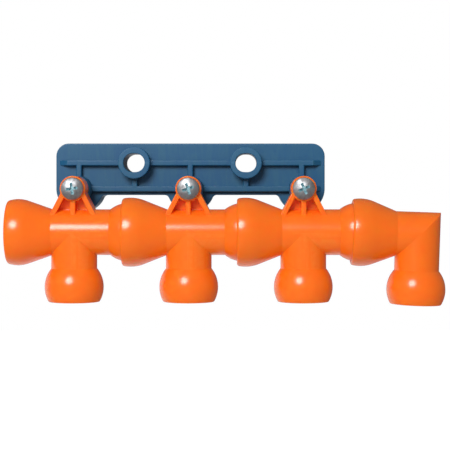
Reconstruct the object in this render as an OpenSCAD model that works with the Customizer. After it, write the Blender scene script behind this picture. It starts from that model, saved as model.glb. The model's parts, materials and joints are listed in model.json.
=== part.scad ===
// Coolant manifold in snap-together ball-and-socket hose fittings.
// Three tees and a mitred elbow form a header line. Each tee has an ear that one pan-head
// screw holds to a ribbed, hollow-backed bracket, and the bracket bolts to a machine or a rack.
// Frame: +X along the line towards the elbow, +Y into the mounting surface, +Z up.
// Origin: midway between the two mounting slots, on the mounting surface.

/* [Hose line] */
// Outside diameter of the plain tube in a tee
tube_d = 18.2; // [17:0.1:19]
// Outside diameter of the plain tube in the elbow
elbow_tube_d = 17.8; // [17:0.1:19]
// Diameter of the flow bore
bore_d = 12.7; // [10:0.1:13]
// Distance from a fitting's centre to the neck where the tube meets the ball
neck_reach = 14.4; // [13:0.1:18]
// Distance from a fitting's centre to its socket's centre
socket_reach = 23.85; // [23:0.05:28]

/* [Ball ends] */
// Diameter of a ball
ball_d = 23.4; // [22.5:0.1:24.5]
// How far a ball runs past its own centre to its flat rim
rim_reach = 5.9; // [4:0.1:7]
// Chamfer on the rim's outer edge
rim_chamfer = 0.5; // [0.2:0.1:1]
// Diameter of the flared mouth at the rim
mouth_d = 15.5; // [14:0.1:17]
// Depth of the flare, from the rim
flare_depth = 6; // [3:0.5:8]

/* [Sockets] */
// Radial clearance between a ball and its socket
joint_gap = 0.05; // [0.02:0.01:0.1]
// Wall of a tee's socket around the ball's equator
socket_wall = 2; // [1.5:0.05:2.6]
// Wall of the elbow's socket around the ball's equator
elbow_socket_wall = 1.7; // [1.4:0.05:2.6]
// How far the socket's lip wraps past the ball's centre
lip_reach = 2.55; // [1.5:0.05:4]
// Radius on the lip's outer edge
lip_round = 1; // [0.5:0.1:1.2]
// Radius of the crowned shoulder on a socket that holds a ball
shoulder_r = 14.6; // [12:0.1:20]
// Distance from the ball's centre to the crown of that shoulder
crown_offset = 0.75; // [0:0.05:2]
// Half angle of the cone that runs from the shoulder down to the tube
cone_angle = 21.6; // [19:0.1:28]
// How much smaller in radius the open inlet socket sits, with no ball to stretch it
relaxed_shrink = 0.55; // [0:0.05:0.8]
// Radius of the crowned shoulder on the open inlet socket
relaxed_shoulder_r = 12.1; // [11:0.1:16]
// Distance from the socket's centre to the crown of the open inlet socket
relaxed_crown_offset = 1.65; // [0:0.05:2.5]
// Half angle of the open inlet socket's cone
relaxed_cone_angle = 19.3; // [18:0.1:26]

/* [Tee ears] */
// Height of the screw's centre above the tube's axis
ear_height = 17.3; // [16:0.1:22]
// Outside diameter of the screw boss on an ear
ear_boss_d = 10.1; // [9.5:0.1:13]
// Depth of the screw boss, front to back
ear_depth = 12.4; // [9:0.1:13]
// Depth of the flanges and the rib that stiffen an ear
flange_depth = 11.8; // [8:0.1:12]
// Distance from the screw's centre to the outer face of a flange
flange_offset = 3.43; // [3:0.01:4.5]
// Lean of a flange from the vertical
flange_angle = 27.4; // [15:0.1:32]
// Thickness of a flange
flange_t = 2; // [1.2:0.1:2.4]
// Thickness of the rib between the flanges
ear_rib_t = 2; // [1.2:0.1:3]
// Thickness of the web between the flanges
ear_web_t = 1.6; // [1:0.1:3]

/* [Screws] */
// Thread diameter of a screw
screw_d = 4.5; // [3.5:0.1:5]
// Length of a screw under its head
screw_length = 24; // [20:0.5:25]
// Length of the tapered point
point_length = 3; // [1:0.5:4]
// Diameter of the pan head
head_d = 8.8; // [7.5:0.1:9.5]
// Height of the pan head
head_h = 3; // [2.4:0.1:4]
// Radius of the domed top of the head
dome_r = 8.5; // [7:0.1:14]
// Width across the cross recess, wing tip to wing tip
recess_span = 5.2; // [4:0.1:5.6]
// Width of one wing of the cross recess
wing_t = 1.1; // [0.8:0.1:1.5]
// Depth of the cross recess
recess_depth = 2; // [1:0.1:2.2]
// Turn of each screw's cross recess, from the inlet end
recess_turn = [9, 19, 24];
// Radial clearance of a screw in a tee's ear
ear_clearance = 0.2; // [0.1:0.05:0.5]
// Radial clearance of a screw in the thread that it forms in the bracket
thread_clearance = 0.05; // [0.02:0.01:0.1]
// Room past the screw's point in its hole
point_room = 1; // [0.5:0.1:2]

/* [Bracket plate] */
// Distance from the mounting surface to the front of the plate
plate_front = 14.2; // [12:0.1:18]
// Thickness of the plate behind its front
plate_t = 3; // [2.6:0.1:4]
// Wall of the skirt that runs back to the mounting surface
skirt_t = 2.4; // [1.6:0.1:3]
// Height of the plate's top edge above the mounting slots
plate_top = 8.05; // [7.5:0.05:12]
// Drop of the plate's straight lower edge below the mounting slots
plate_drop = 13.15; // [12.5:0.05:15]
// Radius of the upper corners
corner_r = 5.2; // [3:0.1:7]
// Radius of the lobe around each screw
lobe_r = 9.6; // [8:0.1:12]
// Radius of the fillet between a lobe and the lower edge
lobe_fillet = 2; // [1:0.1:3]
// Drop of the screws below the mounting slots
screw_drop = 10.6; // [9:0.1:13]

/* [Bracket ribs and bosses] */
// Width of a rib
rib_t = 2.2; // [1.5:0.1:3]
// Height of a rib off the plate
rib_h = 2.8; // [1.5:0.1:4]
// Length of the sloped ramp at the end of a long rib
ramp_length = 3.3; // [2:0.1:5]
// Distance from the end of a long rib to the side of the plate
rib_margin = 1.55; // [1:0.05:4]
// Diameter of a screw boss
screw_boss_d = 10.6; // [9:0.1:13]
// Distance from the mounting surface to the front of a screw boss
screw_boss_front = 26.8; // [25:0.1:30]
// Diameter of a mounting boss
mount_boss_d = 13; // [12:0.1:15]
// Distance from the mounting surface to the front of a mounting boss
mount_boss_front = 20.6; // [18:0.1:22]
// Chamfer around the front of a mounting boss
boss_chamfer = 0.5; // [0.2:0.1:1]
// Width of a mounting slot, top to bottom
slot_w = 7.6; // [5:0.1:8.2]
// Length of a mounting slot, along the line
slot_length = 8.7; // [8.3:0.1:9.4]

/* [Elbow pose] */
// Droop of the elbow about the ball that carries it
elbow_droop = 2; // [-10:0.5:10]

/* [Hidden] */
$fn = 64;
ORANGE = "#F37324";
BLUE = "#30668A";
ZINC = "#B9BCC0";
over = 1;              // how far a cutter runs past what it cuts

tube_r = tube_d / 2;
elbow_tube_r = elbow_tube_d / 2;
bore_r = bore_d / 2;
ball_r = ball_d / 2;

// The neck is where the tube's surface meets the ball's.
function ball_reach(r) = neck_reach + sqrt(ball_r * ball_r - r * r);

// A ball and the socket on it share one centre, which sets the pitch of the tees.
pitch = ball_reach(tube_r) + socket_reach;
slot_pitch = pitch;
plate_half = pitch + lobe_r;
tee_x = [-pitch, 0, pitch];
slot_x = [-slot_pitch / 2, slot_pitch / 2];

// The back of an ear's boss seats on the front of the bracket's screw boss.
line_y = -(screw_boss_front + ear_depth / 2);
line_z = -(screw_drop + ear_height);
head_y = line_y - ear_depth / 2;

// Points along an arc, from angle a0 to a1 in n steps.
function arc(centre, r, a0, a1, n) =
    [for (i = [0:n]) centre + r * [cos(a0 + (a1 - a0) * i / n), sin(a0 + (a1 - a0) * i / n)]];

// ---- ball and socket ends ----

// Outer form of a ball, solid: centre at the origin, rim towards +Z.
module ball() {
    rim_r = sqrt(ball_r * ball_r - rim_reach * rim_reach);
    rotate_extrude()
        intersection() {
            circle(r = ball_r);
            polygon([[0, -ball_r - over], [ball_r + over, -ball_r - over],
                     [ball_r + over, rim_reach - rim_chamfer - (ball_r + over - rim_r)],
                     [rim_r - rim_chamfer, rim_reach], [0, rim_reach]]);
        }
}

// Cutter for the flared mouth of a ball whose centre lies a reach up +Z.
module mouth_flare(reach) {
    spread = (mouth_d / 2 - bore_r) / flare_depth;
    translate([0, 0, reach + rim_reach - flare_depth])
        cylinder(r1 = bore_r, r2 = bore_r + spread * (flare_depth + over), h = flare_depth + over);
}

// Cutter for the flow through one arm, from the fitting's centre out of its ball's mouth.
module arm_bore(reach) {
    cylinder(r = bore_r, h = reach + rim_reach);
    mouth_flare(reach);
}

// Outer form of a socket, solid: ball's centre at the origin, tube towards +Z.
// A crowned shoulder runs into a cone that dies into the tube inside its wall.
module socket(outer_r, crown, shoulder, angle, tube) {
    crown_c = [outer_r - shoulder, crown];
    lip_z = lip_round - lip_reach;
    lip_angle = asin((lip_z - crown) / (shoulder - lip_round));
    lip_c = crown_c + (shoulder - lip_round) * [cos(lip_angle), sin(lip_angle)];
    foot_r = tube - over;
    start = crown_c + shoulder * [cos(angle), sin(angle)];
    foot_z = start[1] + (start[0] - foot_r) / tan(angle);
    rotate_extrude()
        polygon(concat([[0, -lip_reach]],
                       arc(lip_c, lip_round, -90, lip_angle, 5),
                       arc(crown_c, shoulder, lip_angle, angle, 10),
                       [[foot_r, foot_z], [0, foot_z]]));
}

// Cutter for a socket's seat, with its poles on the socket's axis.
module seat(seat_r) {
    translate([-socket_reach, 0, 0]) rotate([0, 90, 0]) sphere(r = seat_r);
}

// ---- tees ----

// Half the width of an ear's flanged frame at a height, inset by a wall from its outer faces.
function frame_half(z, inset) =
    (flange_offset - inset + (ear_height - z) * sin(flange_angle)) / cos(flange_angle);

module ear_frame(inset, root) {
    polygon([[-frame_half(root, inset), root], [frame_half(root, inset), root],
             [frame_half(ear_height, inset), ear_height],
             [-frame_half(ear_height, inset), ear_height]]);
}

// An extrusion of an X-Z outline, centred on the line's vertical plane.
module across(depth) {
    rotate([90, 0, 0]) linear_extrude(height = depth, center = true) children();
}

// Ear on top of a tee: a drilled screw boss on two leaning flanges, with a web and a rib between.
module ear() {
    // the flanges' lower corners sit just inside the tube's surface
    root = sqrt(tube_r * tube_r - flange_depth * flange_depth / 4) - 0.3;
    difference() {
        union() {
            across(flange_depth)
                difference() {
                    ear_frame(0, root);
                    ear_frame(flange_t, root - over);
                }
            across(ear_web_t) ear_frame(flange_t / 2, root);
            across(flange_depth)
                translate([-ear_rib_t / 2, root]) square([ear_rib_t, ear_height - root]);
            ear_cylinder(ear_boss_d, ear_depth);
        }
        ear_cylinder(screw_d + 2 * ear_clearance, ear_depth + 2 * over);
    }
}

module ear_cylinder(d, depth) {
    translate([0, 0, ear_height]) rotate([90, 0, 0]) cylinder(d = d, h = depth, center = true);
}

// One tee, about its own centre: socket to -X, ball to +X, outlet ball down, ear up.
module tee(open_inlet = false) {
    shrink = open_inlet ? relaxed_shrink : 0;
    seat_r = ball_r + joint_gap - shrink;
    reach = ball_reach(tube_r);
    run_start = socket_reach - seat_r - over;
    difference() {
        union() {
            translate([-socket_reach, 0, 0]) rotate([0, 90, 0])
                socket(seat_r + socket_wall,
                       open_inlet ? relaxed_crown_offset : crown_offset,
                       open_inlet ? relaxed_shoulder_r : shoulder_r,
                       open_inlet ? relaxed_cone_angle : cone_angle, tube_r);
            // the run's tube starts inside the socket's cone, past the cavity
            translate([-run_start, 0, 0]) rotate([0, 90, 0]) cylinder(r = tube_r, h = run_start + reach);
            rotate([180, 0, 0]) cylinder(r = tube_r, h = reach);
            translate([reach, 0, 0]) rotate([0, 90, 0]) ball();
            translate([0, 0, -reach]) rotate([180, 0, 0]) ball();
            ear();
        }
        seat(seat_r);
        translate([-socket_reach, 0, 0]) rotate([0, 90, 0]) cylinder(r = bore_r, h = socket_reach);
        rotate([0, 90, 0]) arm_bore(reach);
        rotate([180, 0, 0]) arm_bore(reach);
    }
}

module placed_tee(i) {
    color(ORANGE) translate([tee_x[i], line_y, line_z]) tee(open_inlet = i == 0);
}

module tee_1() { placed_tee(0); }
module tee_2() { placed_tee(1); }
module tee_3() { placed_tee(2); }

// ---- elbow ----

// The half of space on the upper left of the mitre plane, large enough for one arm.
module mitre_side(size) {
    rotate([0, -45, 0]) translate([-size, -size / 2, 0]) cube([2 * size, size, size]);
}

// Two cylinders of one radius that meet in a square mitre: one runs to -X, one runs down.
module mitred_pair(r, left, down) {
    size = 2 * (left + down + r);
    intersection() {
        translate([-left, 0, 0]) rotate([0, 90, 0]) cylinder(r = r, h = left + 2 * r);
        mitre_side(size);
    }
    difference() {
        translate([0, 0, -down]) cylinder(r = r, h = down + 2 * r);
        mitre_side(size);
    }
}

// The elbow, about the corner where its two axes cross: socket to -X, outlet ball down.
module elbow_body() {
    seat_r = ball_r + joint_gap;
    reach = ball_reach(elbow_tube_r);
    difference() {
        union() {
            translate([-socket_reach, 0, 0]) rotate([0, 90, 0])
                socket(seat_r + elbow_socket_wall, crown_offset, shoulder_r, cone_angle,
                       elbow_tube_r);
            mitred_pair(elbow_tube_r, socket_reach - seat_r - over, reach);
            translate([0, 0, -reach]) rotate([180, 0, 0]) ball();
        }
        seat(seat_r);
        union() {
            mitred_pair(bore_r, socket_reach, reach + rim_reach);
            rotate([180, 0, 0]) mouth_flare(reach);
        }
    }
}

// The elbow hangs from the last tee's ball, so it droops about that ball's centre.
module elbow() {
    carrier_x = tee_x[2] + ball_reach(tube_r);
    color(ORANGE) translate([carrier_x, line_y, line_z]) rotate([0, elbow_droop, 0])
        translate([socket_reach, 0, 0]) elbow_body();
}

// ---- screws ----

// Pan head with a domed top and rounded shoulder, seated at the origin and rising along +Z.
module pan_head() {
    side_h = head_h - (dome_r - sqrt(dome_r * dome_r - head_d * head_d / 4));
    rotate_extrude()
        intersection() {
            translate([0, head_h - dome_r]) circle(r = dome_r);
            square([head_d / 2, head_h]);
            polygon([[0, 0], [head_d / 2 - 0.3, 0], [head_d / 2 + over, 0.3 + over],
                     [head_d / 2 + over, side_h], [head_d / 2 - over, head_h + over],
                     [0, head_h + over]]);
        }
}

// Cross recess: four wings that narrow towards the bottom.
module cross_recess() {
    for (turn = [0, 90]) rotate([90, 0, turn])
        linear_extrude(height = wing_t, center = true)
            polygon([[-recess_span / 2, 0], [-recess_span / 5, -recess_depth],
                     [recess_span / 5, -recess_depth], [recess_span / 2, 0],
                     [recess_span / 2, over], [-recess_span / 2, over]]);
}

// One screw, seated at the origin with its head towards +Z.
module screw(turn) {
    difference() {
        pan_head();
        translate([0, 0, head_h]) rotate([0, 0, turn]) cross_recess();
    }
    translate([0, 0, point_length - screw_length])
        cylinder(d = screw_d, h = screw_length - point_length + over / 2);
    translate([0, 0, -screw_length])
        cylinder(d1 = screw_d / 3, d2 = screw_d, h = point_length);
}

module placed_screw(i) {
    color(ZINC) translate([tee_x[i], head_y, -screw_drop]) rotate([90, 0, 0]) screw(recess_turn[i]);
}

module screw_1() { placed_screw(0); }
module screw_2() { placed_screw(1); }
module screw_3() { placed_screw(2); }

// ---- bracket ----

// Angle of the tangent point between a lobe and its fillet, seen from the lobe's centre.
lobe_angle = asin((screw_drop - plate_drop - lobe_fillet) / (lobe_r + lobe_fillet));

// Fillet beside a lobe at x, on its +X side or -X side.
function fillet_c(x, side) =
    [x + side * (lobe_r + lobe_fillet) * cos(lobe_angle), -plate_drop - lobe_fillet];

// The plate's outline from the front, moved inwards by an inset all round.
function plate_outline(inset) =
    let (a = lobe_angle, r = lobe_r - inset, f = lobe_fillet + inset,
         side = plate_half - corner_r, top = plate_top - corner_r, c = corner_r - inset)
    concat(arc([side, top], c, 0, 90, 8),
           arc([-side, top], c, 90, 180, 8),
           arc([tee_x[0], -screw_drop], r, 180, 360 + a, 24),
           arc(fillet_c(tee_x[0], 1), f, 180 + a, 90, 6),
           arc(fillet_c(tee_x[1], -1), f, 90, -a, 6),
           arc([tee_x[1], -screw_drop], r, 180 - a, 360 + a, 24),
           arc(fillet_c(tee_x[1], 1), f, 180 + a, 90, 6),
           arc(fillet_c(tee_x[2], -1), f, 90, -a, 6),
           arc([tee_x[2], -screw_drop], r, 180 - a, 360, 24));

// Extrudes an outline drawn in X-Z from one distance off the mounting surface to another.
module standing(from, to) {
    translate([0, -from, 0]) rotate([90, 0, 0]) linear_extrude(height = to - from) children();
}

// Flat plate on a skirt, open at the back.
module plate() {
    difference() {
        standing(0, plate_front) polygon(plate_outline(0));
        standing(-over, plate_front - plate_t) polygon(plate_outline(skirt_t));
    }
}

// Long rib with a ramp at each end that runs down to the plate.
module long_rib(z) {
    half = plate_half - rib_margin;
    translate([0, 0, z - rib_t / 2])
        linear_extrude(height = rib_t)
            polygon([[-half, -plate_front], [-half + ramp_length, -plate_front - rib_h],
                     [half - ramp_length, -plate_front - rib_h], [half, -plate_front],
                     [half, -plate_front + plate_t / 2], [-half, -plate_front + plate_t / 2]]);
}

// Short upright rib between the two long ones.
module short_rib(x) {
    standing(plate_front - plate_t / 2, plate_front + rib_h)
        translate([x - rib_t / 2, -screw_drop]) square([rib_t, screw_drop]);
}

module slot_cutter(x) {
    half = (slot_length - slot_w) / 2;
    standing(-over, mount_boss_front + over)
        union() {
            for (side = [-half, half]) translate([x + side, 0]) circle(d = slot_w);
            translate([x - half, -slot_w / 2]) square([2 * half, slot_w]);
        }
}

// Boss that carries a mounting bolt's clamp from the bolt's head to the mounting surface.
module mount_boss(x) {
    translate([x, 0, 0]) rotate([90, 0, 0]) {
        cylinder(d = mount_boss_d, h = mount_boss_front - boss_chamfer);
        translate([0, 0, mount_boss_front - boss_chamfer])
            cylinder(d1 = mount_boss_d, d2 = mount_boss_d - 2 * boss_chamfer, h = boss_chamfer);
    }
}

module screw_boss(x) {
    translate([x, 0, -screw_drop]) rotate([90, 0, 0])
        translate([0, 0, plate_front - plate_t / 2])
            cylinder(d = screw_boss_d, h = screw_boss_front - plate_front + plate_t / 2);
}

module screw_hole(x) {
    depth = screw_length - ear_depth + point_room;
    translate([x, 0, -screw_drop]) rotate([90, 0, 0])
        translate([0, 0, screw_boss_front - depth])
            cylinder(d = screw_d + 2 * thread_clearance, h = depth + over);
}

module bracket() {
    color(BLUE)
        difference() {
            union() {
                plate();
                for (z = [0, -screw_drop]) long_rib(z);
                for (x = concat(tee_x, slot_x)) short_rib(x);
                for (x = slot_x) mount_boss(x);
                for (x = tee_x) screw_boss(x);
            }
            for (x = slot_x) slot_cutter(x);
            for (x = tee_x) screw_hole(x);
        }
}

bracket();
tee_1();
tee_2();
tee_3();
elbow();
screw_1();
screw_2();
screw_3();
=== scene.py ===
"""Looks for the rack coolant manifold.

Snap-together tees and a mitred elbow in glossy orange acetal, held by zinc-plated screws to a
satin blue bracket. Pieces are drawn in millimetres about their own centre, then placed in the
row frame: +X along the line towards the elbow, +Y into the mounting surface, +Z up.
"""
import json
import logging
import math
from dataclasses import dataclass, field
from enum import Enum
from typing import Callable, Sequence

import bmesh
import bpy
from bpy.types import Material, Node, NodeSocket, NodeTree, Object
from mathutils import Euler, Matrix, Vector


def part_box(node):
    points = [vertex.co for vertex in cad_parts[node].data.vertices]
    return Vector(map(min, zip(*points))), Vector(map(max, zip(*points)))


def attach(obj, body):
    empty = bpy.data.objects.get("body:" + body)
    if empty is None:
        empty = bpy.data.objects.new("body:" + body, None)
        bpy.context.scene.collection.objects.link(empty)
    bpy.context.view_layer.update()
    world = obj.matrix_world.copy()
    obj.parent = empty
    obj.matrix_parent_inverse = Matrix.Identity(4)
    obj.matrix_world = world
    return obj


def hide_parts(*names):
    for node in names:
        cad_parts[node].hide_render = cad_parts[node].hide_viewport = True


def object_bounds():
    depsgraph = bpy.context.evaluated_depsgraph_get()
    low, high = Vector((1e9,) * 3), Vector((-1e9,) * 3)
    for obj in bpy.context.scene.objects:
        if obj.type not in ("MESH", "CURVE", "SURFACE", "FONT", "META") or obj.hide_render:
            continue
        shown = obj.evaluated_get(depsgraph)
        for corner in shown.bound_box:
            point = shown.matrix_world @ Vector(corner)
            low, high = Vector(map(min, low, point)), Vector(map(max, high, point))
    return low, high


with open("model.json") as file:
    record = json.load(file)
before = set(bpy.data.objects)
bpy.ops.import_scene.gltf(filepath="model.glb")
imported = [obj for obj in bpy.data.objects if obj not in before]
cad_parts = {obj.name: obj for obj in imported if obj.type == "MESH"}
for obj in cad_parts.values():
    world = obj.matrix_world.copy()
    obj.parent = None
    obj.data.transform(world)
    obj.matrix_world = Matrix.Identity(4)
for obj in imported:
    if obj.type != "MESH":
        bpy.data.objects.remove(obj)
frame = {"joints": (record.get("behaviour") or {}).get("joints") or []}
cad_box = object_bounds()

log = logging.getLogger("manifold")

MM = 0.001                 # metres in a millimetre
OVER = 1.0                 # how far a cutter runs past what it cuts, in millimetres
MERGE = 0.0005             # distance under which two vertices are one, in millimetres
SEAM = 0.03                # how near a seam's plane its edges lie, in millimetres
CREASE = math.radians(14)  # an edge that turns by more than this is left sharp
TURN = 2 * math.pi
BEVEL_STEPS = 3            # segments in a small bevel
ROUND_STEPS = 4            # segments in a small round of a profile
HOLE_STEPS = 48            # faces round a screw hole
RECESS_TURNS = (9, 19, 24)  # how far each screw's recess is turned, in degrees
RELIEF_DEPTH = 0.0001      # height of a finish's bumps, in metres

Point2 = tuple[float, float]
Colour = tuple[float, float, float, float]
EdgeTest = Callable[[Vector, Vector], bool]


# ---- drawing and cutting, shared by every piece ----


class Cut(Enum):
    """What a boolean does with its tool."""

    ADD = "UNION"
    REMOVE = "DIFFERENCE"


class Plane(Enum):
    """The plane in which an outline is drawn, as the axes of its first and second numbers."""

    XZ = (0, 2)
    XY = (0, 1)


def arc(centre: Point2, radius: float, start: float, stop: float, steps: int) -> list[Point2]:
    """Points along an arc.

    Args:
        centre: The arc's centre.
        radius: The arc's radius.
        start: The first point's angle, in degrees.
        stop: The last point's angle, in degrees.
        steps: The number of equal steps between them.

    Returns:
        The points, ends included.
    """
    angles = [math.radians(start + (stop - start) * i / steps) for i in range(steps + 1)]
    return [(centre[0] + radius * math.cos(a), centre[1] + radius * math.sin(a)) for a in angles]


def clear_selection() -> None:
    """Leaves nothing selected, so that an operator acts on the new primitive alone."""
    for other in bpy.context.selected_objects:
        other.select_set(False)


def pick(obj: Object) -> None:
    """Selects one object alone and makes it the active one.

    Args:
        obj: The object to select.
    """
    clear_selection()
    obj.select_set(True)
    bpy.context.view_layer.objects.active = obj


def draw(points: Sequence[Point2], plane: Plane = Plane.XZ) -> Object:
    """Draws a chain of edges, each point extruded from the one before, and stays in edit mode.

    Args:
        points: The chain's points.
        plane: The plane that they lie in.

    Returns:
        The object, in edit mode with the last point selected.
    """
    def place(point: Point2) -> Vector:
        spot = Vector((0, 0, 0))
        spot[plane.value[0]], spot[plane.value[1]] = point
        return spot

    clear_selection()
    bpy.ops.mesh.primitive_plane_add(size=1)
    obj = bpy.context.active_object
    bpy.ops.object.mode_set(mode="EDIT")
    bpy.ops.mesh.select_all(action="SELECT")
    bpy.ops.mesh.merge(type="CENTER")
    spots = [place(p) for p in points]
    bpy.ops.transform.translate(value=spots[0])
    for before, after in zip(spots, spots[1:]):
        bpy.ops.mesh.extrude_vertices_move(TRANSFORM_OT_translate={"value": after - before})
    return obj


def tidy(obj: Object) -> None:
    """Merges doubles and turns every face outwards, from edit mode, and leaves edit mode.

    Args:
        obj: The object being edited.
    """
    bpy.ops.mesh.select_all(action="SELECT")
    bpy.ops.mesh.remove_doubles(threshold=MERGE)
    bpy.ops.mesh.dissolve_degenerate(threshold=MERGE / 2)
    bpy.ops.mesh.normals_make_consistent(inside=False)
    bpy.ops.object.mode_set(mode="OBJECT")


def turned(profile: Sequence[Point2], steps: int) -> Object:
    """Spins a profile about the X axis.

    Args:
        profile: Points of (station along X, radius).
        steps: Faces round the axis.

    Returns:
        The turned object.
    """
    obj = draw(profile)
    bpy.ops.mesh.select_all(action="SELECT")
    bpy.ops.mesh.spin(steps=steps, angle=TURN, center=(0, 0, 0), axis=(1, 0, 0))
    tidy(obj)
    return obj


def prism(outline: Sequence[Point2], start: float, stop: float,
          plane: Plane = Plane.XZ) -> Object:
    """Fills an outline and extrudes it square to its plane.

    Args:
        outline: The outline's points, not closed.
        start: Where the extrusion starts, along the third axis.
        stop: Where it stops.
        plane: The plane of the outline.

    Returns:
        The solid.
    """
    third = 3 - sum(plane.value)
    obj = draw(outline, plane)
    bpy.ops.mesh.select_all(action="SELECT")
    bpy.ops.mesh.edge_face_add()
    move = Vector((0, 0, 0))
    move[third] = start
    bpy.ops.transform.translate(value=move)
    move[third] = stop - start
    bpy.ops.mesh.extrude_region_move(TRANSFORM_OT_translate={"value": move})
    tidy(obj)
    return obj


def edit_edges(obj: Object, wanted: EdgeTest, operate: Callable[[], object]) -> None:
    """Runs an edit on the edges that a test picks by their two ends.

    Args:
        obj: The object to edit.
        wanted: Says whether an edge between two points is picked.
        operate: The edit.
    """
    pick(obj)
    bpy.ops.object.mode_set(mode="EDIT")
    bpy.ops.mesh.select_mode(type="EDGE")
    bpy.ops.mesh.select_all(action="DESELECT")
    mesh = bmesh.from_edit_mesh(obj.data)
    for edge in mesh.edges:
        if wanted(edge.verts[0].co, edge.verts[1].co):
            edge.select_set(True)
    bmesh.update_edit_mesh(obj.data)
    operate()
    bpy.ops.mesh.select_mode(type="VERT")
    bpy.ops.object.mode_set(mode="OBJECT")


def round_edges(obj: Object, width: float, wanted: EdgeTest) -> None:
    """Bevels the edges that a test picks.

    Args:
        obj: The object to bevel.
        width: The bevel's width.
        wanted: Says whether an edge between two points is bevelled.
    """
    edit_edges(obj, wanted, lambda: bpy.ops.mesh.bevel(
        offset=width, segments=BEVEL_STEPS, affect="EDGES", clamp_overlap=True))


def moved(obj: Object, turn: Sequence[float] = (0, 0, 0),
          shift: Sequence[float] = (0, 0, 0)) -> Object:
    """Turns an object about the world's axes, then moves it, and keeps both in its mesh.

    Args:
        obj: The object to move.
        turn: Degrees about X, Y and Z.
        shift: Distances along X, Y and Z.

    Returns:
        The same object.
    """
    pick(obj)
    obj.rotation_euler = Euler([math.radians(angle) for angle in turn])
    bpy.ops.object.transform_apply()
    obj.location = shift
    bpy.ops.object.transform_apply()
    return obj


def combine(obj: Object, tool: Object, cut: Cut) -> None:
    """Adds a tool to an object or cuts it out, and uses the tool up.

    Args:
        obj: The object that stays.
        tool: The object that is added or removed.
        cut: Which of the two is done.
    """
    pick(obj)
    bpy.ops.object.modifier_add(type="BOOLEAN")
    boolean = obj.modifiers[-1]
    boolean.operation = cut.value
    boolean.solver = "EXACT"
    boolean.object = tool
    bpy.ops.object.modifier_apply(modifier=boolean.name)
    spent = tool.data
    bpy.data.objects.remove(tool)
    bpy.data.meshes.remove(spent)


def copy_of(obj: Object) -> Object:
    """Copies an object with a mesh of its own.

    Args:
        obj: The object to copy.

    Returns:
        The copy.
    """
    pick(obj)
    bpy.ops.object.duplicate(linked=False)
    return bpy.context.active_object


def settle(obj: Object, place: Matrix) -> None:
    """Brings a finished piece from the drawing in millimetres to its place in metres.

    Args:
        obj: The finished piece.
        place: Its place in the row frame.
    """
    pick(obj)
    obj.matrix_world = place @ Matrix.Scale(MM, 4)
    bpy.ops.object.transform_apply(location=True, rotation=True, scale=True)
    bpy.ops.object.shade_smooth_by_angle(angle=CREASE, keep_sharp_edges=True)
    bpy.ops.object.modifier_add(type="WEIGHTED_NORMAL")
    weighted = obj.modifiers[-1]
    weighted.keep_sharp = True
    bpy.ops.object.modifier_apply(modifier=weighted.name)


def dress(obj: Object, place: Matrix, node: str, body: str,
          finishes: Sequence[Material]) -> None:
    """Puts a finished piece in the place of a node of the frame.

    Args:
        obj: The finished piece, in millimetres about its own centre.
        place: Its place in the row frame.
        node: The node that it stands for.
        body: The body that it rides on.
        finishes: Its materials.
    """
    obj.name = obj.data.name = f"{node}_dressed"
    for finish in finishes:
        obj.data.materials.append(finish)
    settle(obj, place)
    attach(obj, body)
    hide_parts(node)
    log.info("%s: %d faces, on %s", obj.name, len(obj.data.polygons), body)


# ---- finishes ----


class ShaderGraph:
    """A node tree that is filled step by step."""

    def __init__(self, tree: NodeTree) -> None:
        """Starts on an empty tree.

        Args:
            tree: The tree to fill.
        """
        self.tree = tree

    def feed(self, node: Node, inputs: dict[str | int, object]) -> None:
        """Links or sets some of a node's inputs.

        Args:
            node: The node.
            inputs: For each input, a value or the output that feeds it.
        """
        for key, value in inputs.items():
            if isinstance(value, NodeSocket):
                self.tree.links.new(value, node.inputs[key])
            else:
                node.inputs[key].default_value = value

    def add(self, kind: str, inputs: dict[str | int, object] | None = None,
            **settings: object) -> Node:
        """Adds a node.

        Args:
            kind: The node's type.
            inputs: For each input, a value or the output that feeds it.
            **settings: The node's own properties.

        Returns:
            The new node.
        """
        node = self.tree.nodes.new(kind)
        for key, value in settings.items():
            setattr(node, key, value)
        self.feed(node, inputs or {})
        return node

    def mix(self, factor: object, first: object, second: object) -> NodeSocket:
        """Mixes two colours.

        Args:
            factor: The second colour's share.
            first: The first colour.
            second: The second colour.

        Returns:
            The mixed colour.
        """
        node = self.add("ShaderNodeMix", {0: factor, 6: first, 7: second}, data_type="RGBA")
        return node.outputs[2]

    def spread(self, value: object, low: float, high: float, to_low: float,
               to_high: float) -> NodeSocket:
        """Maps a value from one range to another, held at its ends.

        Args:
            value: The value to map.
            low: The lower end of its range.
            high: The upper end of its range.
            to_low: What the lower end becomes.
            to_high: What the upper end becomes.

        Returns:
            The mapped value.
        """
        node = self.add("ShaderNodeMapRange", {
            "Value": value, "From Min": low, "From Max": high, "To Min": to_low,
            "To Max": to_high})
        return node.outputs[0]

    def noise(self, scale: object, detail: float, roughness: float = 0.5,
              distortion: float = 0.0, place: object = None) -> NodeSocket:
        """Adds noise that keeps its place on the object.

        Args:
            scale: Its scale.
            detail: Its octaves.
            roughness: What each octave keeps of the one before.
            distortion: How far it is warped.
            place: The coordinate, or None for the object's own frame.

        Returns:
            The noise.
        """
        return self.add("ShaderNodeTexNoise", {
            "Vector": place or object_place(self), "Scale": scale, "Detail": detail,
            "Roughness": roughness, "Distortion": distortion}).outputs[0]

    def math(self, operation: str, first: object, second: object) -> NodeSocket:
        """Works out one step of arithmetic.

        Args:
            operation: The operation's name.
            first: The first number.
            second: The second number.

        Returns:
            The result.
        """
        return self.add("ShaderNodeMath", {0: first, 1: second}, operation=operation).outputs[0]


def object_place(graph: ShaderGraph) -> NodeSocket:
    """The point being shaded, in the object's own frame.

    Args:
        graph: The graph that reads it.

    Returns:
        The coordinate.
    """
    return graph.add("ShaderNodeTexCoord").outputs["Object"]


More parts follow.
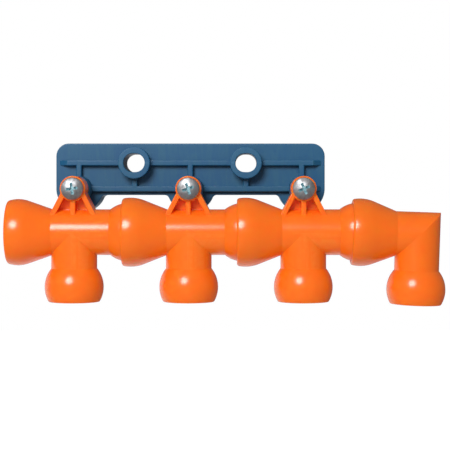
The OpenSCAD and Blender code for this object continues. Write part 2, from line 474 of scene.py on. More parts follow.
def start_group(name: str, inputs: dict[str, float],
                outputs: Sequence[str]) -> tuple[ShaderGraph, Node, Node]:
    """Starts a shader node group with named inputs and outputs.

    Args:
        name: The group's name.
        inputs: Each input's name and usual value.
        outputs: The outputs' names.

    Returns:
        The group's graph, its entry and its exit.
    """
    tree = bpy.data.node_groups.new(name, "ShaderNodeTree")
    for key, usual in inputs.items():
        socket = tree.interface.new_socket(key, in_out="INPUT", socket_type="NodeSocketFloat")
        socket.default_value = usual
    for key in outputs:
        tree.interface.new_socket(key, in_out="OUTPUT", socket_type="NodeSocketFloat")
    graph = ShaderGraph(tree)
    return graph, graph.add("NodeGroupInput"), graph.add("NodeGroupOutput")


def make_mould_group() -> NodeTree:
    """Builds the slow mottle and the fine grain that a mould leaves on plastic.

    Returns:
        The group. Mottle runs from 0 to 1, and Height is for a bump.
    """
    graph, entry, leave = start_group(
        "moulded surface", {"Mottle Scale": 120.0, "Grain Scale": 2500.0, "Waviness": 2.0},
        ("Mottle", "Grain", "Height"))
    cloud = graph.noise(entry.outputs["Mottle Scale"], detail=4.0, roughness=0.55)
    grain = graph.noise(entry.outputs["Grain Scale"], detail=3.0, roughness=0.6)
    slow = graph.math("MULTIPLY", cloud, entry.outputs["Waviness"])
    graph.feed(leave, {"Mottle": graph.spread(cloud, 0.32, 0.68, 0.0, 1.0), "Grain": grain,
                       "Height": graph.math("ADD", slow, grain)})
    return graph.tree


def make_wear_group() -> NodeTree:
    """Builds the mask of the edges that handling rubs, broken up by noise.

    Returns:
        The group. Edge is 1 on a rubbed edge.
    """
    graph, entry, leave = start_group("edge wear", {"Amount": 0.5, "Breakup Scale": 600.0},
                                      ("Edge",))
    sharp = graph.add("ShaderNodeNewGeometry").outputs["Pointiness"]
    noise = graph.noise(entry.outputs["Breakup Scale"], detail=3.0)
    mask = graph.math("MULTIPLY", graph.spread(sharp, 0.5, 0.62, 0.0, 1.0),
                      graph.spread(noise, 0.35, 0.65, 0.3, 1.0))
    graph.feed(leave, {"Edge": graph.math("MULTIPLY", mask, entry.outputs["Amount"])})
    return graph.tree


def make_dust_group() -> NodeTree:
    """Builds the thin film of dust that settles on what faces up.

    Returns:
        The group. Film is 1 where the dust is thickest.
    """
    graph, entry, leave = start_group("settled dust", {"Amount": 0.1, "Scale": 300.0}, ("Film",))
    normal = graph.add("ShaderNodeNewGeometry").outputs["Normal"]
    up = graph.add("ShaderNodeSeparateXYZ", {0: normal}).outputs["Z"]
    noise = graph.noise(entry.outputs["Scale"], detail=5.0)
    film = graph.math("MULTIPLY", graph.spread(up, 0.55, 1.0, 0.0, 1.0),
                      graph.spread(noise, 0.4, 0.7, 0.2, 1.0))
    graph.feed(leave, {"Film": graph.math("MULTIPLY", film, entry.outputs["Amount"])})
    return graph.tree


@dataclass(frozen=True)
class SharedEffects:
    """The node groups that more than one finish uses."""

    mould: NodeTree = field(default_factory=make_mould_group)
    wear: NodeTree = field(default_factory=make_wear_group)
    dust: NodeTree = field(default_factory=make_dust_group)


def rgb(red: int, green: int, blue: int) -> tuple[float, float, float, float]:
    """Turns a screen colour into the linear one that shaders use.

    Args:
        red: Red, from 0 to 255.
        green: Green, from 0 to 255.
        blue: Blue, from 0 to 255.

    Returns:
        The linear colour, opaque.
    """
    def linear(level: int) -> float:
        share = level / 255
        return share / 12.92 if share <= 0.04045 else ((share + 0.055) / 1.055) ** 2.4

    return (linear(red), linear(green), linear(blue), 1.0)


def start_material(name: str) -> tuple[Material, ShaderGraph, Node]:
    """Starts a material with its shader joined to its output.

    Args:
        name: The material's name.

    Returns:
        The material, its graph and its shader.
    """
    material = bpy.data.materials.new(name)
    material.use_nodes = True
    material.node_tree.nodes.clear()
    graph = ShaderGraph(material.node_tree)
    shader = graph.add("ShaderNodeBsdfPrincipled")
    graph.add("ShaderNodeOutputMaterial", {"Surface": shader.outputs[0]})
    return material, graph, shader


@dataclass(frozen=True, kw_only=True)
class Finish:
    """Two tones mottled together, rubbed edges, dust, and grain in the gloss and the relief."""

    name: str
    colour: Colour
    second: Colour
    roughness: float
    smoother: float                 # how far the grain lowers the roughness
    rougher: float                  # how far the grain raises it
    grained_by: str = "Grain"       # the output of the moulded surface that steers the gloss
    grain_range: tuple[float, float] = (0.3, 0.7)
    mottle_scale: float
    mottle_share: float = 1.0       # the second tone's share where the mottle is strongest
    grain_scale: float = 2500.0
    waviness: float = 2.0
    relief: float = 0.0
    streaks: float = 0.0            # the second tone's share in the streaks of flow
    rubbed: Colour = rgb(235, 236, 238)
    wear: float = 0.0
    dusty: Colour = rgb(150, 165, 175)
    dust: float = 0.0
    dust_dulls: float = 0.0
    index: float = 1.5
    metallic: float = 0.0
    glow: float = 0.0
    glow_depth: float = 0.004
    glow_tint: tuple[float, float, float] = (1.0, 0.12, 0.03)

    def share(self, graph: ShaderGraph, mottle: NodeSocket) -> NodeSocket:
        """Works out the second tone's share, from the mottle and the upright streaks of flow.

        Args:
            graph: The material's graph.
            mottle: The mottle of the moulded surface.

        Returns:
            The share.
        """
        share = graph.math("MULTIPLY", mottle, self.mottle_share)
        if not self.streaks:
            return share
        stretched = graph.add("ShaderNodeMapping", {
            "Vector": object_place(graph), "Scale": (1.0, 1.0, 0.16)})
        flow = graph.noise(420.0, detail=4.0, distortion=1.4, place=stretched.outputs[0])
        return graph.math("ADD", graph.spread(flow, 0.42, 0.75, 0.0, self.streaks), share)

    def make(self, shared: SharedEffects) -> Material:
        """Builds the material.

        Args:
            shared: The shared node groups.

        Returns:
            The material.
        """
        material, graph, shader = start_material(self.name)
        mould = graph.add("ShaderNodeGroup", node_tree=shared.mould)
        graph.feed(mould, {"Mottle Scale": self.mottle_scale, "Grain Scale": self.grain_scale,
                           "Waviness": self.waviness})
        wear = graph.add("ShaderNodeGroup", node_tree=shared.wear)
        graph.feed(wear, {"Amount": self.wear})
        dust = graph.add("ShaderNodeGroup", node_tree=shared.dust)
        graph.feed(dust, {"Amount": self.dust})
        film = dust.outputs["Film"]
        tone = graph.mix(self.share(graph, mould.outputs["Mottle"]), self.colour, self.second)
        tone = graph.mix(wear.outputs["Edge"], tone, self.rubbed)
        rough = graph.spread(mould.outputs[self.grained_by], *self.grain_range,
                             self.roughness - self.smoother, self.roughness + self.rougher)
        bump = graph.add("ShaderNodeBump", {
            "Height": mould.outputs["Height"], "Strength": self.relief,
            "Distance": RELIEF_DEPTH})
        graph.feed(shader, {
            "Base Color": graph.mix(film, tone, self.dusty),
            "Roughness": graph.math("ADD", rough, graph.math("MULTIPLY", film, self.dust_dulls)),
            "Normal": bump.outputs[0], "IOR": self.index, "Metallic": self.metallic,
            "Subsurface Weight": self.glow, "Subsurface Radius": self.glow_tint,
            "Subsurface Scale": self.glow_depth})
        return material


# Glossy moulded acetal: light sinks a little way into it, red the furthest.
ORANGE_ACETAL = Finish(
    name="orange_acetal", colour=rgb(255, 117, 22), second=rgb(255, 109, 18),
    roughness=0.23, smoother=0.03, rougher=0.04, mottle_scale=90, mottle_share=0.5,
    grain_scale=1800, waviness=6, relief=0.05, rubbed=rgb(255, 142, 58), wear=0.25,
    dusty=rgb(236, 190, 160), dust=0.02, dust_dulls=0.8, index=1.53, glow=0.6)

# Satin moulded acetal, streaked by the way it flowed into the mould.
BLUE_ACETAL = Finish(
    name="blue_acetal", colour=rgb(0, 80, 124), second=rgb(28, 92, 122),
    roughness=0.42, smoother=0.05, rougher=0.07, mottle_scale=110, mottle_share=0.4,
    grain_scale=2600, waviness=3, relief=0.12, streaks=0.55, rubbed=rgb(56, 116, 152),
    wear=0.35, dust=0.06, index=1.48)

# Bright zinc plate, with the pressed metal's small unevenness under it.
ZINC_PLATE = Finish(
    name="zinc_plate", colour=rgb(206, 209, 212), second=rgb(150, 148, 150),
    roughness=0.46, smoother=0.04, rougher=0.12, grained_by="Mottle", grain_range=(0.0, 1.0),
    mottle_scale=420, grain_scale=3200, waviness=4, relief=0.35, wear=0.6, metallic=1.0)

# The blue tint that the plate keeps in a recess, where nothing rubs it.
PASSIVATED_RECESS = Finish(
    name="passivated_recess", colour=rgb(186, 224, 232), second=rgb(112, 156, 166),
    roughness=0.42, smoother=0.08, rougher=0.08, mottle_scale=1500, metallic=0.3)


# ---- hose fittings ----


@dataclass
class SocketShape:
    """A socket's outer form: a crowned shoulder that runs into a cone."""

    wall: float = 2.0
    shoulder: float = 14.6
    crown: float = 0.75
    cone_angle: float = 21.6
    shrink: float = 0.0


@dataclass
class Fitting:
    """Sizes that every fitting of the hose line shares, in millimetres."""

    tube_r: float = 9.1
    bore_r: float = 6.35
    ball_r: float = 11.7
    neck: float = 14.4
    socket_reach: float = 23.85
    rim: float = 5.9
    rim_round: float = 0.5
    mouth_r: float = 7.75
    flare: float = 6.0
    gap: float = 0.05
    lip: float = 2.55
    lip_round: float = 1.0
    edge_round: float = 0.3
    steps: int = 144
    ball_steps: int = 30
    shoulder_steps: int = 18
    lip_steps: int = 6
    rim_steps: int = 5

    @property
    def reach(self) -> float:
        """Distance from the fitting's centre to a ball's centre."""
        return self.neck + math.sqrt(self.ball_r ** 2 - self.tube_r ** 2)

    def ball_end(self) -> list[Point2]:
        """The outer profile from the neck to the middle of the rim, about the fitting's centre.

        Returns:
            Points of (station, radius).
        """
        centre = (self.reach, 0)
        neck = 180 - math.degrees(math.asin(self.tube_r / self.ball_r))
        corner = (self.rim - self.rim_round,
                  math.sqrt((self.ball_r - self.rim_round) ** 2
                            - (self.rim - self.rim_round) ** 2))
        turn_in = math.degrees(math.atan2(corner[1], corner[0]))
        return (arc(centre, self.ball_r, neck, turn_in, self.ball_steps)
                + arc((self.reach + corner[0], corner[1]), self.rim_round, turn_in, 0,
                      self.rim_steps)[1:]
                + [(self.reach + self.rim, 0)])

    def socket_end(self, shape: SocketShape) -> list[Point2]:
        """The outer profile from the middle of the lip to the foot of the cone.

        Args:
            shape: The socket's form.

        Returns:
            Points of (station, radius).
        """
        outer = self.ball_r + self.gap - shape.shrink + shape.wall
        crown = (shape.crown - self.socket_reach, outer - shape.shoulder)
        lip_s = self.lip_round - self.lip - self.socket_reach
        inner_r = shape.shoulder - self.lip_round
        lip_angle = 90 + math.degrees(math.asin((crown[0] - lip_s) / inner_r))
        lip_c = (crown[0] + inner_r * math.cos(math.radians(lip_angle)),
                 crown[1] + inner_r * math.sin(math.radians(lip_angle)))
        cone = 90 - shape.cone_angle
        shoulder = arc(crown, shape.shoulder, lip_angle, cone, self.shoulder_steps)
        last = shoulder[-1]
        foot = last[0] + (last[1] - self.tube_r) / math.tan(math.radians(shape.cone_angle))
        return ([(-self.socket_reach - self.lip, 0)]
                + arc(lip_c, self.lip_round, 180, lip_angle, self.lip_steps)
                + shoulder[1:] + [(foot, self.tube_r)])

    def seat_cavity(self, shape: SocketShape, stop: float) -> list[Point2]:
        """The inner profile from outside the lip, over the seat and along the bore.

        Args:
            shape: The socket's form.
            stop: Where the bore stops.

        Returns:
            Points of (station, radius).
        """
        seat = self.ball_r + self.gap - shape.shrink
        lip_angle = 90 + math.degrees(math.asin((self.lip - self.edge_round) / seat))
        bore_angle = math.degrees(math.asin(self.bore_r / seat))
        curve = arc((-self.socket_reach, 0), seat, lip_angle, bore_angle, self.ball_steps)
        mouth = curve[0][1] + self.edge_round
        face = -self.socket_reach - self.lip
        return ([(face - OVER, 0), (face - OVER, mouth)]
                + arc((face, curve[0][1]), self.edge_round, 90, 0, ROUND_STEPS)
                + curve[1:] + [(stop, self.bore_r)])

    def mouth_cavity(self, start: float) -> list[Point2]:
        """The inner profile of an arm that ends in a ball.

        Args:
            start: Where the bore starts.

        Returns:
            Points of (station, radius).
        """
        rim = self.reach + self.rim
        return [(start, self.bore_r), (rim - self.flare, self.bore_r),
                (rim - self.edge_round, self.mouth_r),
                (rim - self.edge_round / 3, self.mouth_r + self.edge_round / 3),
                (rim, self.mouth_r + self.edge_round),
                (rim + OVER, self.mouth_r + self.edge_round), (rim + OVER, 0)]


@dataclass
class Tee(Fitting):
    """A tee: socket to the left, ball to the right, outlet ball down, ear on top."""

    shape: SocketShape = field(default_factory=SocketShape)
    ear_height: float = 17.3
    boss_r: float = 5.05
    boss_depth: float = 12.4
    flange_depth: float = 11.8
    flange_offset: float = 3.43
    flange_angle: float = 27.4
    flange_t: float = 2.0
    rib_t: float = 2.0
    web_t: float = 1.6
    hole_r: float = 2.45
    ear_round: float = 0.3

    def frame_half(self, height: float, inset: float) -> float:
        """Half the width of the ear's flanged frame.

        Args:
            height: The height above the tube's axis.
            inset: How far inside the outer faces.

        Returns:
            The half width.
        """
        lean = math.radians(self.flange_angle)
        return ((self.flange_offset - inset + (self.ear_height - height) * math.sin(lean))
                / math.cos(lean))

    def ear(self) -> Object:
        """Models the ear: a boss on two leaning flanges, with a web and a rib between.

        Returns:
            The ear, about the tee's centre.
        """
        half = self.flange_depth / 2
        root = math.sqrt(self.tube_r ** 2 - half ** 2) - self.ear_round
        top, inset = self.ear_height, self.flange_t / 2
        ear = prism([
            (-self.frame_half(root, inset), root), (self.frame_half(root, inset), root),
            (self.frame_half(top, inset), top), (-self.frame_half(top, inset), top)],
            -self.web_t / 2, self.web_t / 2)
        for side in (-1, 1):
            flange = prism([
                (side * self.frame_half(root, 0), root),
                (side * self.frame_half(root, self.flange_t), root),
                (side * self.frame_half(top, self.flange_t), top),
                (side * self.frame_half(top, 0), top)], -half, half)
            self.round_faces(flange, half)
            combine(ear, flange, Cut.ADD)
        rib = prism([(-self.rib_t / 2, root), (self.rib_t / 2, root),
                     (self.rib_t / 2, top), (-self.rib_t / 2, top)], -half, half)
        self.round_faces(rib, half)
        combine(ear, rib, Cut.ADD)
        depth = self.boss_depth / 2
        edge = self.ear_round
        boss = turned([(-depth, 0)]
                      + arc((edge - depth, self.boss_r - edge), edge, 180, 90, ROUND_STEPS)
                      + arc((depth - edge, self.boss_r - edge), edge, 90, 0, ROUND_STEPS)
                      + [(depth, 0)], self.steps // 2)
        combine(ear, moved(boss, (0, 0, 90), (0, 0, top)), Cut.ADD)
        return ear

    def round_faces(self, obj: Object, half: float) -> None:
        """Rounds the upright edges on the front and back of a flange or rib.

        Args:
            obj: The flange or rib.
            half: Half its depth.
        """
        round_edges(obj, self.ear_round, lambda a, b: (
            abs(abs(a.y) - half) < MERGE and abs(a.y - b.y) < MERGE
            and abs(a.z - b.z) > self.tube_r / 2))

    def on_seam(self, a: Vector, b: Vector) -> bool:
        """Says whether an edge lies on the mitred seam between the run and the outlet.

        Args:
            a: One end of the edge.
            b: Its other end.

        Returns:
            True on the seam.
        """
        return all(p.z < MERGE and abs(abs(p.x) - abs(p.z)) < SEAM
                   and abs(math.hypot(p.y, p.z) - self.tube_r) < SEAM for p in (a, b))

    def model(self) -> Object:
        """Models the tee about its own centre.

        Returns:
            The tee, in millimetres.
        """
        body = turned(self.socket_end(self.shape) + self.ball_end(), self.steps)
        outlet = turned([(0, 0), (0, self.tube_r)] + self.ball_end(), self.steps)
        combine(body, moved(outlet, (0, 90, 0)), Cut.ADD)
        edit_edges(body, self.on_seam, bpy.ops.mesh.mark_sharp)
        combine(body, self.ear(), Cut.ADD)
        run = turned(self.seat_cavity(self.shape, 0)
                     + self.mouth_cavity(0)[1:], self.steps)
        combine(body, run, Cut.REMOVE)
        branch = turned([(0, 0)] + self.mouth_cavity(0), self.steps)
        combine(body, moved(branch, (0, 90, 0)), Cut.REMOVE)
        depth = self.boss_depth / 2
        edge = self.ear_round
        lead = self.hole_r + edge
        hole = turned([
            (-depth - OVER, 0), (-depth - OVER, lead), (-depth, lead),
            (edge - depth, self.hole_r), (depth - edge, self.hole_r),
            (depth, lead), (depth + OVER, lead), (depth + OVER, 0)], HOLE_STEPS)
        combine(body, moved(hole, (0, 0, 90), (0, 0, self.ear_height)), Cut.REMOVE)
        return body

    def place(self, node: str) -> Matrix:
        """Finds the tee's centre from its node's box.

        Args:
            node: The tee's node.

        Returns:
            Its place in the row frame.
        """
        low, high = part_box(node)
        out = (self.reach + self.rim) * MM
        return Matrix.Translation((high.x - out, (low.y + high.y) / 2, low.z + out))


@dataclass
class Elbow(Fitting):
    """A mitred elbow: socket to the left, outlet ball down. It hangs from the last tee's ball."""

    tube_r: float = 8.9
    shape: SocketShape = field(default_factory=lambda: SocketShape(wall=1.7))
    seam_round: float = 0.3

    def mitred(self, left: Sequence[Point2], down: Sequence[Point2],
               radius: float) -> Object:
        """Turns two arms of one radius and joins them in a square mitre.

        Args:
            left: The profile of the arm that ends at the corner, towards +X.
            down: The profile of the arm that starts at the corner.
            radius: The radius that both have at the corner.

        Returns:
            The closed solid, with its corner at the origin.
        """
        past = 1.5 * radius
        first = turned([*left, (past, radius)], self.steps)
        second = moved(turned([(-past, radius), *down], self.steps), (0, 90, 0))
        for arm, side in ((first, 1), (second, -1)):
            pick(arm)
            bpy.ops.object.mode_set(mode="EDIT")
            bpy.ops.mesh.select_all(action="SELECT")
            bpy.ops.mesh.bisect(plane_co=(0, 0, 0), plane_no=(side, 0, -side),
                                clear_outer=True, threshold=MERGE)
            bpy.ops.object.mode_set(mode="OBJECT")
        pick(first)
        second.select_set(True)
        bpy.ops.object.join()
        bpy.ops.object.mode_set(mode="EDIT")
        tidy(first)
        return first

    def model(self) -> Object:
        """Models the elbow about the corner where its two axes cross.

        Returns:
            The elbow, in millimetres.
        """
        body = self.mitred(self.socket_end(self.shape), self.ball_end(), self.tube_r)
        round_edges(body, self.seam_round, lambda a, b: (
            abs(a.x - a.z) < MERGE * 4 and abs(b.x - b.z) < MERGE * 4
            and abs(a.x) < self.tube_r + OVER))
        bore = self.mitred(self.seat_cavity(self.shape, -self.bore_r)[:-1],
                           self.mouth_cavity(0)[1:], self.bore_r)
        combine(body, bore, Cut.REMOVE)
        return body

    def place(self) -> Matrix:
        """Finds the elbow's corner from the joint that it swivels on.

        Returns:
            Its place in the row frame, with the droop that it hangs at.
        """
        swivel = next(j for j in frame["joints"] if j["name"] == "elbow_swivel")
        axis = Vector(swivel["axis"])
        droop = math.atan2(-axis.z, axis.x)
        return (Matrix.Translation(swivel["pos_m"]) @ Matrix.Rotation(droop, 4, "Y")
                @ Matrix.Translation((self.socket_reach * MM, 0, 0)))


# ---- screws ----


@dataclass
class Screw:
    """A pan-head screw with a cross recess, drawn with its head towards +X."""

    thread_r: float = 2.25
    root_r: float = 1.75
    pitch: float = 1.7
    length: float = 24.0
    point: float = 3.0
    head_r: float = 4.4
    head_h: float = 3.0
    dome_r: float = 8.5
    seat_round: float = 0.3
    shoulder_round: float = 0.45
    crest_half: float = 0.06
    flank_share: float = 0.45
    tip_h: float = 0.2
    tip_r: float = 0.25
    dome_steps: int = 14
    wing_t: float = 1.1
    span: float = 5.2
    recess: float = 2.0
    skin: float = 0.04
    steps: int = 96

    def model(self) -> Object:
        """Models one screw, seated at the origin with its head along +X.

        Returns:
            The screw, in millimetres, with its recess not yet cut.
        """
        shoulder = self.shoulder_round
        corner = (self.head_h - self.dome_r
                  + math.sqrt((self.dome_r - shoulder) ** 2 - (self.head_r - shoulder) ** 2),
                  self.head_r - shoulder)
        meet = math.degrees(math.atan2(corner[1], corner[0] - self.head_h + self.dome_r))
        thread = []
        flank = self.flank_share * self.pitch
        turns = int((self.length - self.point) / self.pitch)
        for i in range(turns):
            crest = -self.length + self.point + (i + 0.5) * self.pitch
            thread += [(crest - flank, self.root_r), (crest - self.crest_half, self.thread_r),
                       (crest + self.crest_half, self.thread_r), (crest + flank, self.root_r)]
        profile = ([(-self.length, 0), (self.tip_h - self.length, self.tip_r)] + thread
                   + [(0, self.root_r)]
                   + arc((self.seat_round, self.head_r - self.seat_round), self.seat_round,
                         180, 90, ROUND_STEPS)
                   + arc(corner, shoulder, 90, meet, ROUND_STEPS + 1)
                   + arc((self.head_h - self.dome_r, 0), self.dome_r, meet, 0,
                         self.dome_steps)[1:])
        return turned(profile, self.steps)

    def cut_recess(self, screw: Object, angle: float) -> None:
        """Cuts the cross recess: four tapered wings about a deeper centre.

        Args:
            screw: The screw, along +X.
            angle: The recess's turn about the screw's axis, in degrees.
        """
        for wing in (0, 90):
            half, foot = self.span / 2, self.span / 5
            top = self.head_h + OVER
            floor = self.head_h - self.recess
            blade = prism([(floor, -foot), (floor, foot), (self.head_h, half),
                           (top, half), (top, -half), (self.head_h, -half)],
                          -self.wing_t / 2, self.wing_t / 2)
            combine(screw, moved(blade, (angle + wing, 0, 0)), Cut.REMOVE)

    def paint_recess(self, screw: Object) -> None:
        """Gives the walls and floor of the recess the piece's second finish.

        Args:
            screw: The screw, along +X.
        """
        centre = self.head_h - self.dome_r
        for face in screw.data.polygons:
            spot = face.center
            sunk = (spot - Vector((centre, 0, 0))).length < self.dome_r - self.skin
            within = math.hypot(spot.y, spot.z) < self.span / 2
            if sunk and within and spot.x > self.head_h - self.recess - self.skin:
                face.material_index = 1

    def place(self, node: str) -> Matrix:
        """Finds the screw's seat from its node's box.

        Args:
            node: The screw's node.

        Returns:
            Its place in the row frame, with its head towards -Y.
        """
        low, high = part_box(node)
        seat = Vector(((low.x + high.x) / 2, low.y + self.head_h * MM, (low.z + high.z) / 2))
        return Matrix.Translation(seat) @ Matrix.Rotation(-math.pi / 2, 4, "Z")


# ---- bracket ----


@dataclass
class Bracket:
    """A ribbed plate on a skirt, open at the back, about the middle of its mounting surface."""

    pitch: float = 45.604
    front: float = 14.2
    plate_t: float = 3.0
    skirt_t: float = 2.4
    top: float = 8.05
    drop: float = 13.15
    corner_r: float = 5.2
    lobe_r: float = 9.6
    fillet: float = 2.0
    screw_drop: float = 10.6
    rib_t: float = 2.2
    rib_h: float = 2.8
    ramp: float = 3.3
    rib_margin: float = 1.55
    screw_boss_r: float = 5.3
    screw_boss_front: float = 26.8
    mount_boss_r: float = 6.5
    mount_boss_front: float = 20.6
    slot_w: float = 7.6
    slot_length: float = 8.7
    hole_r: float = 2.3
    hole_depth: float = 12.6
    edge_round: float = 0.4
    steps: int = 96
    corner_steps: int = 10
    lobe_steps: int = 32
    fillet_steps: int = 8
    slot_steps: int = 24

    @property
    def screws_x(self) -> list[float]:
        """Where the screws stand along the plate."""
        return [-self.pitch, 0.0, self.pitch]

    @property
    def slots_x(self) -> list[float]:
        """Where the mounting slots stand along the plate."""
        return [-self.pitch / 2, self.pitch / 2]

    def outline(self, inset: float) -> list[Point2]:
        """The plate's outline from the front.

        Args:
            inset: How far inside the edge it is drawn.

        Returns:
            Its points.
        """
        lean = math.degrees(math.asin((self.screw_drop - self.drop - self.fillet)
                                      / (self.lobe_r + self.fillet)))
        lobe, fillet = self.lobe_r - inset, self.fillet + inset
        out = (self.lobe_r + self.fillet) * math.cos(math.radians(lean))
        side, low = self.pitch + self.lobe_r - self.corner_r, -self.drop - self.fillet
        top, corner = self.top - self.corner_r, self.corner_r - inset
        points = (arc((side, top), corner, 0, 90, self.corner_steps)
                  + arc((-side, top), corner, 90, 180, self.corner_steps))
        first, *_, last = self.screws_x
        for x, following in zip(self.screws_x, self.screws_x[1:]):
            start = 180 if x == first else 180 - lean
            points += arc((x, -self.screw_drop), lobe, start, 360 + lean, self.lobe_steps)
            points += arc((x + out, low), fillet, 180 + lean, 90, self.fillet_steps)
            points += arc((following - out, low), fillet, 90, -lean, self.fillet_steps)
        return points + arc((last, -self.screw_drop), lobe, 180 - lean, 360, self.lobe_steps)

    def plate(self) -> Object:
        """Models the plate and its skirt.

        Returns:
            The shell, open at the back.
        """
        shell = prism(self.outline(0), -self.front, 0)
        round_edges(shell, self.edge_round, lambda a, b: (
            abs(a.y + self.front) < MERGE and abs(b.y + self.front) < MERGE))
        hollow = prism(self.outline(self.skirt_t), self.plate_t - self.front, OVER)
        combine(shell, hollow, Cut.REMOVE)
        return shell

    def long_rib(self, height: float) -> Object:
        """Models a rib along the plate, with a ramp at each end.

        Args:
            height: The height of its middle.

        Returns:
            The rib.
        """
        half = self.pitch + self.lobe_r - self.rib_margin
        crest, root = -self.front - self.rib_h, -self.front
        rib = prism([
            (-half, root), (-half + self.ramp, crest), (half - self.ramp, crest), (half, root),
            (half, root + self.plate_t / 2), (-half, root + self.plate_t / 2)],
            height - self.rib_t / 2, height + self.rib_t / 2, Plane.XY)
        round_edges(rib, self.edge_round, lambda a, b: (
            abs(a.z - b.z) < MERGE and a.y < root + MERGE and b.y < root + MERGE))
        return rib

    def short_rib(self, x: float) -> Object:
        """Models an upright rib between the two long ones.

        Args:
            x: Where it stands along the plate.

        Returns:
            The rib.
        """
        half, crest = self.rib_t / 2, -self.front - self.rib_h
        rib = prism([(x - half, -self.screw_drop), (x + half, -self.screw_drop),
                     (x + half, 0), (x - half, 0)],
                    crest, -self.front + self.plate_t / 2)
        round_edges(rib, self.edge_round, lambda a, b: (
            abs(a.x - b.x) < MERGE and a.y < crest + MERGE and b.y < crest + MERGE))
        return rib

    def post(self, x: float, z: float, radius: float, front: float,
             back: float) -> Object:
        """Models a boss with a rounded front edge.

        Args:
            x: Where it stands along the plate.
            z: Its height.
            radius: Its radius.
            front: The distance from the mounting surface to its front.
            back: The distance from the mounting surface to its back.

        Returns:
            The boss.
        """
        edge = self.edge_round
        post = turned([(back, 0), (back, radius)]
                      + arc((front - edge, radius - edge), edge, 90, 0, ROUND_STEPS) + [(front, 0)],
                      self.steps)
        return moved(post, (0, 0, -90), (x, 0, z))

    def slot_cutter(self, x: float) -> Object:
        """Models the cutter of a mounting slot, with a small lead-in at the front.

        Args:
            x: The slot's middle.

        Returns:
            The cutter.
        """
        half, radius = (self.slot_length - self.slot_w) / 2, self.slot_w / 2
        outline = (arc((x + half, 0), radius, -90, 90, self.slot_steps)
                   + arc((x - half, 0), radius, 90, 270, self.slot_steps))
        lead = self.edge_round / 2
        cutter = prism(outline, OVER, lead - self.mount_boss_front)
        pick(cutter)
        bpy.ops.object.mode_set(mode="EDIT")
        bpy.ops.mesh.select_mode(type="FACE")
        bpy.ops.mesh.select_all(action="DESELECT")
        mesh = bmesh.from_edit_mesh(cutter.data)
        for face in mesh.faces:
            face.select_set(face.normal.y < -0.9)
        bmesh.update_edit_mesh(cutter.data)
        bpy.ops.mesh.extrude_region_move(TRANSFORM_OT_translate={"value": (0, -lead, 0)})
        grow = 1 + lead / radius
        bpy.ops.transform.resize(value=(grow, 1, grow), center_override=(x, 0, 0))
        bpy.ops.mesh.extrude_region_move(TRANSFORM_OT_translate={"value": (0, -OVER, 0)})
        bpy.ops.mesh.select_mode(type="VERT")
        bpy.ops.object.mode_set(mode="OBJECT")
        return cutter

    def model(self) -> Object:
        """Models the bracket.

        Returns:
            The bracket, in millimetres.
        """
        body = self.plate()
        ribs = ([self.long_rib(height) for height in (0, -self.screw_drop)]
                + [self.short_rib(x) for x in self.screws_x + self.slots_x])
        mounts = [self.post(x, 0, self.mount_boss_r, self.mount_boss_front, 0)
                  for x in self.slots_x]
        screw_bosses = [self.post(x, -self.screw_drop, self.screw_boss_r,
                                  self.screw_boss_front, self.front - self.plate_t / 2)
                        for x in self.screws_x]
        for solid in ribs + mounts + screw_bosses:
            combine(body, solid, Cut.ADD)
        floor = self.screw_boss_front - self.hole_depth
        mouth = self.screw_boss_front + OVER
        for x in self.slots_x:
            combine(body, self.slot_cutter(x), Cut.REMOVE)
        for x in self.screws_x:
            hole = turned([(floor, 0), (floor, self.hole_r), (mouth, self.hole_r),
                           (mouth, 0)], HOLE_STEPS)
            combine(body, moved(hole, (0, 0, -90), (x, 0, -self.screw_drop)), Cut.REMOVE)
        return body


# ---- stage, lights and camera ----


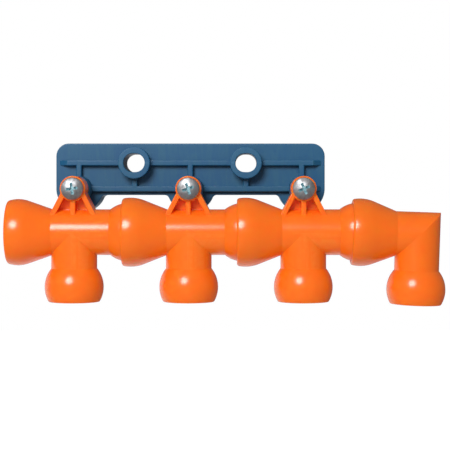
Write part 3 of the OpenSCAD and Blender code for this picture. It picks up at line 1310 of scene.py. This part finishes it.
@dataclass
class Studio:
    """A pale floor, a white surround, one soft key lamp and the camera, in metres."""

    floor_drop: float = 0.3
    floor_size: float = 6.0
    ambient: float = 0.36
    dim_room: float = 0.16
    pale_side: tuple[float, float, float] = (-0.65, 0.3, -0.7)
    pale_edge: tuple[float, float] = (0.25, 0.6)
    behind_edge: tuple[float, float] = (0.0, 0.6)
    floor_grey: float = 0.86
    floor_roughness: float = 0.9
    fade: tuple[float, float] = (0.3, 1.1)
    near_lift: float = 0.45
    key_watts: float = 11.7
    key_size: float = 0.52
    key_distance: float = 1.2
    key_elevation: float = 26.0
    key_azimuth: float = -18.0
    camera_at: tuple[float, float, float] = (0.0224, -0.613, -0.012)
    lens: float = 116.5
    sensor: float = 36.0
    shift: tuple[float, float] = (-0.0444, -0.0728)

    def surround(self) -> None:
        """Makes the world: white to look at, an even light on the object, and for gloss a room
        that is pale low on the left behind the object and dim elsewhere."""
        world = bpy.data.worlds.new("surround")
        bpy.context.scene.world = world
        world.use_nodes = True
        world.node_tree.nodes.clear()
        graph = ShaderGraph(world.node_tree)
        rays = graph.add("ShaderNodeLightPath")
        seen = graph.math("MAXIMUM", rays.outputs["Is Camera Ray"],
                          rays.outputs["Is Transmission Ray"])
        way = graph.add("ShaderNodeTexCoord").outputs["Generated"]
        pale = graph.add("ShaderNodeVectorMath", {0: way, 1: self.pale_side},
                         operation="DOT_PRODUCT").outputs["Value"]
        side = graph.spread(pale, *self.pale_edge, 0.0, 1.0)
        depth = graph.add("ShaderNodeSeparateXYZ", {0: way}).outputs["Y"]
        behind = graph.math("MULTIPLY", side,
                            graph.spread(depth, *self.behind_edge, 0.0, 1.0))
        gloss = graph.spread(behind, 0.0, 1.0, self.dim_room, 1.0)
        level = graph.add("ShaderNodeMix", {
            0: rays.outputs["Is Glossy Ray"], 2: self.ambient, 3: gloss}).outputs[0]
        level = graph.add("ShaderNodeMix", {0: seen, 2: level, 3: 1.0}).outputs[0]
        back = graph.add("ShaderNodeBackground", {"Color": (1, 1, 1, 1), "Strength": level})
        graph.add("ShaderNodeOutputWorld", {"Surface": back.outputs[0]})

    def floor(self) -> None:
        """Makes the floor, white but for the object's shadow, and clear from below."""
        low, _ = cad_box
        clear_selection()
        bpy.ops.mesh.primitive_grid_add(x_subdivisions=4, y_subdivisions=4,
                                        size=self.floor_size,
                                        location=(0, 0, low.z - self.floor_drop))
        floor = bpy.context.active_object
        floor.name = "floor"
        bpy.ops.object.transform_apply(location=True, rotation=True, scale=True)
        material, graph, shader = start_material("pale_floor")
        rays = graph.add("ShaderNodeLightPath")
        centred = graph.add("ShaderNodeMapping", {
            "Vector": object_place(graph), "Location": (0, 0, self.floor_drop - low.z)})
        away = graph.add("ShaderNodeVectorMath", {0: centred.outputs[0]}, operation="LENGTH")
        lift = graph.spread(away.outputs["Value"], *self.fade, self.near_lift, 1.0)
        graph.feed(shader, {
            "Base Color": (self.floor_grey, self.floor_grey, self.floor_grey, 1),
            "Roughness": self.floor_roughness, "Emission Color": (1, 1, 1, 1),
            "Emission Strength": graph.math("MULTIPLY", lift, rays.outputs["Is Camera Ray"])})
        clear = graph.add("ShaderNodeBsdfTransparent")
        under = graph.add("ShaderNodeNewGeometry").outputs["Backfacing"]
        both = graph.add("ShaderNodeMixShader", {
            0: under, 1: shader.outputs[0], 2: clear.outputs[0]})
        output = next(n for n in graph.tree.nodes if n.type == "OUTPUT_MATERIAL")
        graph.feed(output, {"Surface": both.outputs[0]})
        floor.data.materials.append(material)
        floor.visible_glossy = False

    def key_lamp(self, aim: Vector) -> None:
        """Hangs the round soft lamp that faces the object.

        Args:
            aim: Where it aims.
        """
        bpy.ops.object.light_add(type="AREA")
        lamp = bpy.context.active_object
        lamp.name = "key"
        lamp.data.shape = "DISK"
        lamp.data.energy = self.key_watts
        lamp.data.size = self.key_size
        round_by, up = math.radians(self.key_azimuth), math.radians(self.key_elevation)
        away = Vector((math.sin(round_by) * math.cos(up), -math.cos(round_by) * math.cos(up),
                       math.sin(up)))
        lamp.location = aim + away * self.key_distance
        lamp.rotation_euler = away.to_track_quat("Z", "Y").to_euler()

    def camera(self) -> None:
        """Sets up the camera square on to the line."""
        bpy.ops.object.camera_add(location=self.camera_at, rotation=(math.pi / 2, 0, 0))
        camera = bpy.context.active_object
        camera.data.lens = self.lens
        camera.data.sensor_width = self.sensor
        camera.data.shift_x, camera.data.shift_y = self.shift
        camera.data.clip_start, camera.data.clip_end = 0.01, 20
        bpy.context.scene.camera = camera

    def build(self) -> None:
        """Builds the studio round the object."""
        low, high = cad_box
        self.surround()
        self.floor()
        self.key_lamp((low + high) / 2)
        self.camera()
        bpy.context.scene.view_settings.view_transform = "Standard"
        log.info("studio built")


def main() -> None:
    """Builds the pieces in order, puts them in place and sets up the studio."""
    logging.basicConfig(level=logging.INFO, format="%(message)s")
    shared = SharedEffects()
    orange, blue, zinc, recess = (finish.make(shared) for finish in (
        ORANGE_ACETAL, BLUE_ACETAL, ZINC_PLATE, PASSIVATED_RECESS))
    dress(Bracket().model(), Matrix.Identity(4), "bracket", "manifold",
          (blue,))

    inlet = Tee(shape=SocketShape(shoulder=12.1, crown=1.65, cone_angle=19.3, shrink=0.55))
    held = Tee()
    first, second = inlet.model(), held.model()
    pairs = ((inlet, first), (held, second), (held, copy_of(second)))
    for i, (tee, piece) in enumerate(pairs, 1):
        dress(piece, tee.place(f"tee_{i}"), f"tee_{i}", "manifold", (orange,))

    elbow = Elbow()
    dress(elbow.model(), elbow.place(), "elbow", "elbow",
          (orange,))

    screw = Screw()
    plain = screw.model()
    for i, angle in enumerate(RECESS_TURNS, 1):
        piece = copy_of(plain)
        screw.cut_recess(piece, angle)
        screw.paint_recess(piece)
        dress(piece, screw.place(f"screw_{i}"), f"screw_{i}", "manifold",
              (zinc, recess))
    bpy.data.objects.remove(plain)

    Studio().build()


if __name__ == "__main__":
    main()
